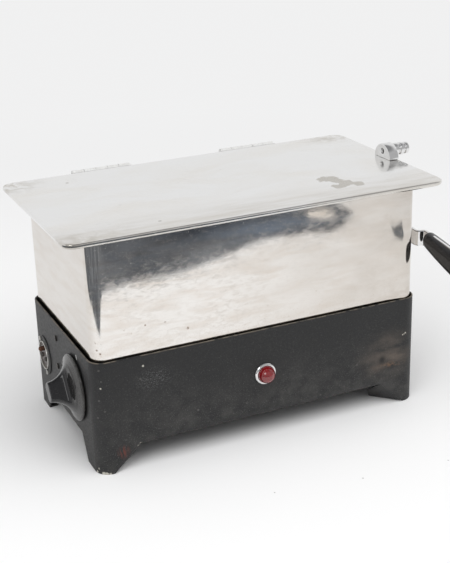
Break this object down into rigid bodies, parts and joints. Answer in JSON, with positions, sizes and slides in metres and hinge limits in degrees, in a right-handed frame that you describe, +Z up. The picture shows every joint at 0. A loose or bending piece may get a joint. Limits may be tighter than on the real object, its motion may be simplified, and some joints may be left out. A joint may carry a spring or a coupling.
{
  "type": "boiling instrument sterilizer",
  "caption": "Bench boiling sterilizer: plated rectangular bath in a dark footed base, hinged flat lid, side lever that lifts a perforated tray, heat knob, red lamp and mains inlet",
  "frame": {"origin": "middle of the whole object's box, on the surface it stands on", "axes": "+X along the bath towards the lever end, -Y towards the front with the lamp, +Z up"},
  "size_m": [0.4104, 0.2635, 0.2452],
  "materials": {
    "base_paint": "satin charcoal stove enamel, chipped",
    "zinc_steel": "dull zinc",
    "tank_steel": "worn bright plate, fine scratches",
    "lid_steel": "hazy worn bright plate",
    "chrome": "polished",
    "knob_black": "moulded phenolic, glossy",
    "grip_black": "moulded phenolic, glossy",
    "phenolic": "moulded brown phenolic",
    "lens_red": "clear red",
    "bulb_glass": "clear",
    "brass": "dull",
    "tarnished": "tarnished red-brown",
    "rubber": "matt",
    "sheath": "heat-darkened sheath",
    "steatite": "unglazed",
    "wire_red": "matt",
    "wire_black": "matt",
    "wire_green": "matt",
    "dark_steel": "blackened"
  },
  "bodies": {
    "base": {"base_shell": "base_paint", "bottom_plate": "zinc_steel", "bottom_screws": "zinc_steel", "cross_rails": "zinc_steel", "tank": "tank_steel", "tank_nuts": "zinc_steel", "heating_element": "sheath", "element_washers": "rubber", "element_nuts": "brass", "heat_regulator": "phenolic", "regulator_nut": "zinc_steel", "terminal_block": "steatite", "terminal_screws": "dark_steel", "inlet_shroud": "zinc_steel", "inlet_insulator": "phenolic", "inlet_pins": "brass", "earth_pin": "tarnished", "inlet_screws": "zinc_steel", "inlet_nuts": "zinc_steel", "wire_live": "wire_red", "wire_neutral": "wire_black", "wire_heater": "wire_red", "wire_earth": "wire_green", "wire_lamp": "wire_black", "lamp_bezel": "chrome", "lamp_lens": "lens_red", "lamp_bulb": "bulb_glass", "lamp_body": "phenolic", "lamp_nut": "zinc_steel", "hinge_leaf_left": "tank_steel", "hinge_leaf_right": "tank_steel", "hinge_rivets": "tank_steel", "hinge_pins": "tank_steel", "shaft_gland": "brass", "gland_nut": "brass", "gland_washers": "rubber", "shaft_bearing": "tank_steel"},
    "lid": {"lid_panel": "lid_steel", "lid_leaf_left": "lid_steel", "lid_leaf_right": "lid_steel", "lid_boss": "chrome", "lid_stud": "chrome", "boss_screws": "zinc_steel"},
    "knob": {"knob": "knob_black", "knob_screw": "zinc_steel", "regulator_spindle": "brass"},
    "lever": {"lever_strap": "chrome", "lever_hub": "chrome", "lever_grip": "grip_black", "grip_rivets": "chrome", "lever_nut": "chrome", "lifting_shaft": "tank_steel", "crank_arm_left": "tank_steel", "crank_arm_right": "tank_steel", "crank_pins": "tank_steel"},
    "tray": {"tray": "tank_steel", "tray_ear_left": "tank_steel", "tray_ear_right": "tank_steel", "tray_rivets": "tank_steel"}
  },
  "joints": [
    {"name": "lid_hinge", "type": "hinge", "parent": "base", "child": "lid", "pos_m": [-0.00875, 0.12753, 0.2277], "axis": [-1, 0, 0], "range_deg": [0, 100]},
    {"name": "knob_turn", "type": "hinge", "parent": "base", "child": "knob", "pos_m": [-0.17975, -0.01947, 0.0685], "axis": [-1, 0, 0], "range_deg": [-36, 234]},
    {"name": "lever_turn", "type": "hinge", "parent": "base", "child": "lever", "pos_m": [-0.00875, 0.08953, 0.16], "axis": [-1, 0, 0], "range_deg": [0, 38]},
    {"name": "tray_level", "type": "hinge", "parent": "lever", "child": "tray", "pos_m": [-0.00875, 0.02219, 0.12931], "axis": [-1, 0, 0], "range_deg": [-38, 0]}
  ],
  "couplings": [
    {"joint": "tray_level", "follows": "lever_turn", "ratio": -1}
  ]
}
